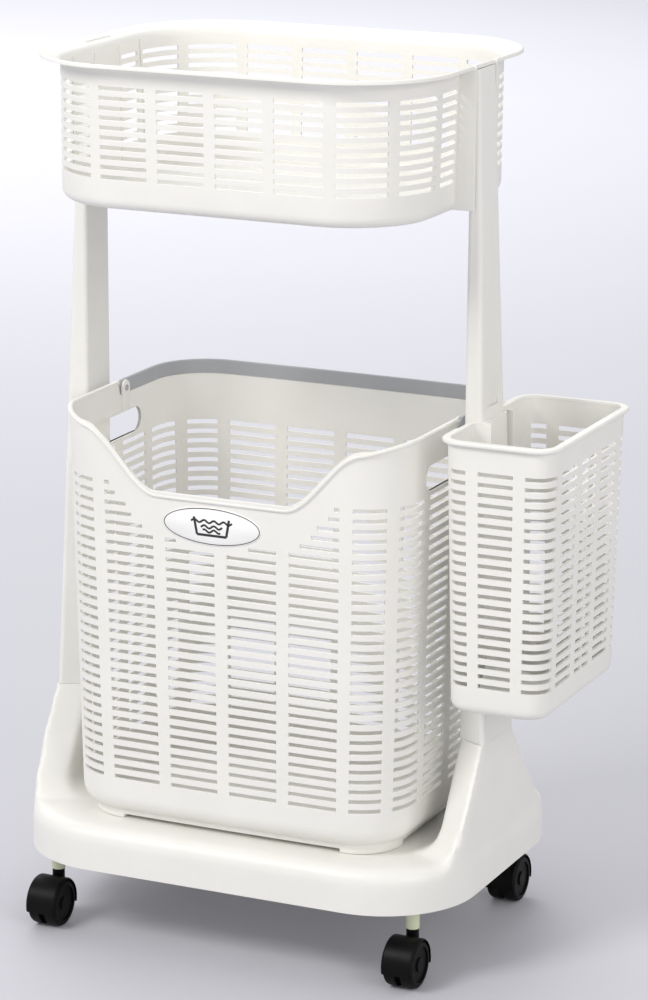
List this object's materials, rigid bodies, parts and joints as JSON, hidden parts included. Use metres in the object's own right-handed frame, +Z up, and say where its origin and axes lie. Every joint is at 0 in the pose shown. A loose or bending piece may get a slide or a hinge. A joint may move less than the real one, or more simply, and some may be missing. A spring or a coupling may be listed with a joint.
{
  "type": "laundry sorter on wheels",
  "caption": "Wheeled laundry trolley: tray base and side posts with a top basket, a scoop-front laundry basket with a carry handle and a side basket.",
  "frame": {"origin": "middle of the whole object's footprint, on the floor that the wheels stand on", "axes": "+Z up, -Y towards the basket's scooped front, +X towards the side basket"},
  "size_m": [0.544, 0.364, 0.85],
  "materials": {
    "ivory_plastic": "satin moulded",
    "grey_plastic": "satin moulded",
    "badge_plate": "gloss printed",
    "sleeve_nylon": "natural nylon",
    "black_plastic": "satin moulded",
    "black_nylon": "satin moulded",
    "steel": "zinc plated"
  },
  "bodies": {
    "trolley": {"base_tray": "ivory_plastic", "post_left": "ivory_plastic", "post_right": "ivory_plastic", "caster_sleeve_front_left": "sleeve_nylon", "caster_sleeve_front_right": "sleeve_nylon", "caster_sleeve_rear_left": "sleeve_nylon", "caster_sleeve_rear_right": "sleeve_nylon"},
    "top_basket": {"top_basket": "ivory_plastic"},
    "laundry_basket": {"laundry_basket": "ivory_plastic", "handle_pin_left": "grey_plastic", "handle_pin_right": "grey_plastic", "badge": "badge_plate"},
    "carry_handle": {"carry_handle": "grey_plastic"},
    "side_basket": {"side_basket": "ivory_plastic"},
    "caster_front_left": {"caster_stem_front_left": "steel", "caster_hood_front_left": "black_plastic", "caster_axle_front_left": "steel"},
    "wheel_front_left_left": {"wheel_front_left_left": "black_nylon"},
    "wheel_front_left_right": {"wheel_front_left_right": "black_nylon"},
    "caster_front_right": {"caster_stem_front_right": "steel", "caster_hood_front_right": "black_plastic", "caster_axle_front_right": "steel"},
    "wheel_front_right_left": {"wheel_front_right_left": "black_nylon"},
    "wheel_front_right_right": {"wheel_front_right_right": "black_nylon"},
    "caster_rear_left": {"caster_stem_rear_left": "steel", "caster_hood_rear_left": "black_plastic", "caster_axle_rear_left": "steel"},
    "wheel_rear_left_left": {"wheel_rear_left_left": "black_nylon"},
    "wheel_rear_left_right": {"wheel_rear_left_right": "black_nylon"},
    "caster_rear_right": {"caster_stem_rear_right": "steel", "caster_hood_rear_right": "black_plastic", "caster_axle_rear_right": "steel"},
    "wheel_rear_right_left": {"wheel_rear_right_left": "black_nylon"},
    "wheel_rear_right_right": {"wheel_rear_right_right": "black_nylon"}
  },
  "joints": [
    {"name": "top_basket_lift", "type": "slide", "parent": "trolley", "child": "top_basket", "axis": [0, 0, 1], "range_m": [0, 0.16]},
    {"name": "laundry_basket_pull", "type": "slide", "parent": "trolley", "child": "laundry_basket", "axis": [0, -1, 0], "range_m": [0, 0.33]},
    {"name": "carry_handle_swing", "type": "hinge", "parent": "laundry_basket", "child": "carry_handle", "pos_m": [-0.044, 0.006, 0.5052], "axis": [1, 0, 0], "range_deg": [0, 95]},
    {"name": "side_basket_unhook", "type": "slide", "parent": "trolley", "child": "side_basket", "axis": [1, 0, 0], "range_m": [0, 0.06]},
    {"name": "swivel_front_left", "type": "hinge", "parent": "trolley", "child": "caster_front_left", "pos_m": [-0.231, -0.117, 0.06], "axis": [0, 0, 1], "continuous": true},
    {"name": "roll_front_left_left", "type": "hinge", "parent": "caster_front_left", "child": "wheel_front_left_left", "pos_m": [-0.231, -0.132, 0.0225], "axis": [1, 0, 0], "continuous": true},
    {"name": "roll_front_left_right", "type": "hinge", "parent": "caster_front_left", "child": "wheel_front_left_right", "pos_m": [-0.231, -0.132, 0.0225], "axis": [1, 0, 0], "continuous": true},
    {"name": "swivel_front_right", "type": "hinge", "parent": "trolley", "child": "caster_front_right", "pos_m": [0.143, -0.117, 0.06], "axis": [0, 0, 1], "continuous": true},
    {"name": "roll_front_right_left", "type": "hinge", "parent": "caster_front_right", "child": "wheel_front_right_left", "pos_m": [0.143, -0.132, 0.0225], "axis": [1, 0, 0], "continuous": true},
    {"name": "roll_front_right_right", "type": "hinge", "parent": "caster_front_right", "child": "wheel_front_right_right", "pos_m": [0.143, -0.132, 0.0225], "axis": [1, 0, 0], "continuous": true},
    {"name": "swivel_rear_left", "type": "hinge", "parent": "trolley", "child": "caster_rear_left", "pos_m": [-0.231, 0.137, 0.06], "axis": [0, 0, 1], "continuous": true},
    {"name": "roll_rear_left_left", "type": "hinge", "parent": "caster_rear_left", "child": "wheel_rear_left_left", "pos_m": [-0.231, 0.122, 0.0225], "axis": [1, 0, 0], "continuous": true},
    {"name": "roll_rear_left_right", "type": "hinge", "parent": "caster_rear_left", "child": "wheel_rear_left_right", "pos_m": [-0.231, 0.122, 0.0225], "axis": [1, 0, 0], "continuous": true},
    {"name": "swivel_rear_right", "type": "hinge", "parent": "trolley", "child": "caster_rear_right", "pos_m": [0.143, 0.137, 0.06], "axis": [0, 0, 1], "continuous": true},
    {"name": "roll_rear_right_left", "type": "hinge", "parent": "caster_rear_right", "child": "wheel_rear_right_left", "pos_m": [0.143, 0.122, 0.0225], "axis": [1, 0, 0], "continuous": true},
    {"name": "roll_rear_right_right", "type": "hinge", "parent": "caster_rear_right", "child": "wheel_rear_right_right", "pos_m": [0.143, 0.122, 0.0225], "axis": [1, 0, 0], "continuous": true}
  ]
}
